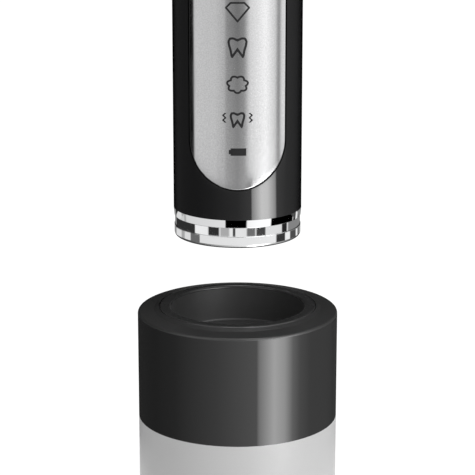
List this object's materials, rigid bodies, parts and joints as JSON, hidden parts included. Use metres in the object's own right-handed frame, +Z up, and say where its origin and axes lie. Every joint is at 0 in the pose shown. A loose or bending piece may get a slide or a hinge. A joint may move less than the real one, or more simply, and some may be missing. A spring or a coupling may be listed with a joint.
{
  "type": "electric toothbrush on charger",
  "caption": "Sonic toothbrush with a black handle, steel front panel and chrome base ring, lifted above a round induction charger that has a recessed charging cup on a light grey base.",
  "frame": {"origin": "on the common axis of charger and toothbrush, at the underside of the charger's foot ring", "axes": "+Z up along the toothbrush; the steel panel and the bristles face -Y; the power socket is at +Y"},
  "size_m": [0.0444, 0.0444, 0.317],
  "materials": {
    "gloss_black": "high gloss black ABS",
    "light_grey": "satin light grey ABS",
    "blasted_steel": "fine blasted stainless steel",
    "chrome_trim": "polished chrome",
    "black_rubber": "matte rubber",
    "black_plastic": "moulded matte black",
    "frame_plastic": "moulded natural white",
    "circuit_board": "green solder mask",
    "copper": "enamelled copper winding",
    "bronze": "sintered bronze",
    "ferrite": "dark sintered ferrite",
    "plain_steel": "machined steel",
    "nickel": "nickel plate",
    "battery_wrap": "blue shrink wrap on a metal can",
    "light_guide": "clear moulded plastic",
    "lamp": "lamp package",
    "bristle": "white nylon strands"
  },
  "bodies": {
    "charger": {"foot_ring": "black_rubber", "base_plate": "black_plastic", "base_shell": "light_grey", "base_screws": "plain_steel", "board_screws": "plain_steel", "ballast_disc": "plain_steel", "charger_board": "circuit_board", "charger_components": "black_plastic", "power_socket": "nickel", "socket_tongue": "black_plastic", "collar": "gloss_black", "charging_cup": "gloss_black", "coil_former": "frame_plastic", "transmitter_coil": "copper", "transmitter_ferrite": "ferrite", "coil_leads": "copper"},
    "handle": {"base_ring": "chrome_trim", "end_cap": "black_plastic", "end_cap_seal": "black_rubber", "receiver_coil": "copper", "receiver_ferrite": "ferrite", "receiver_leads": "copper", "housing": "gloss_black", "steel_panel": "blasted_steel", "light_guides": "light_guide", "mode_lamps": "lamp", "main_board": "circuit_board", "board_chips": "black_plastic", "inner_frame": "frame_plastic", "battery": "battery_wrap", "battery_tabs": "nickel", "tact_switch": "black_plastic", "button_seal": "black_rubber", "motor_can": "plain_steel", "motor_front_plate": "plain_steel", "motor_rear_plate": "plain_steel", "front_bearing": "bronze", "rear_bearing": "bronze", "stator_core": "ferrite", "stator_coils": "copper", "lower_damper": "black_rubber", "upper_damper": "black_rubber", "spring_anchor": "black_plastic", "return_spring": "plain_steel", "shaft_seal": "black_rubber", "neck_ring": "chrome_trim"},
    "power_button": {"power_button": "gloss_black"},
    "switch_plunger": {"switch_plunger": "frame_plastic"},
    "drive": {"drive_shaft": "plain_steel", "rotor_yoke": "plain_steel", "rotor_magnets": "nickel"},
    "brush_head": {"brush_stem": "gloss_black", "stem_ring": "chrome_trim", "shaft_sleeve": "plain_steel", "bristles": "bristle"}
  },
  "joints": [
    {"name": "toothbrush_lift", "type": "slide", "parent": "charger", "child": "handle", "axis": [0, 0, 1], "range_m": [-0.0244, 0.06]},
    {"name": "power_button_press", "type": "slide", "parent": "handle", "child": "power_button", "axis": [0, 1, 0], "range_m": [0, 0.0005], "stiffness_N_per_m": 1000},
    {"name": "switch_plunger_press", "type": "slide", "parent": "handle", "child": "switch_plunger", "axis": [0, 1, 0], "range_m": [0, 0.0005]},
    {"name": "shaft_sweep", "type": "hinge", "parent": "handle", "child": "drive", "pos_m": [0, 0, 0.2], "axis": [0, 0, 1], "range_deg": [-5, 5], "stiffness_Nm_per_rad": 0.01},
    {"name": "brush_head_pull", "type": "slide", "parent": "drive", "child": "brush_head", "axis": [0, 0, 1], "range_m": [0, 0.025]}
  ],
  "couplings": [
    {"joint": "switch_plunger_press", "follows": "power_button_press", "ratio": 1}
  ]
}
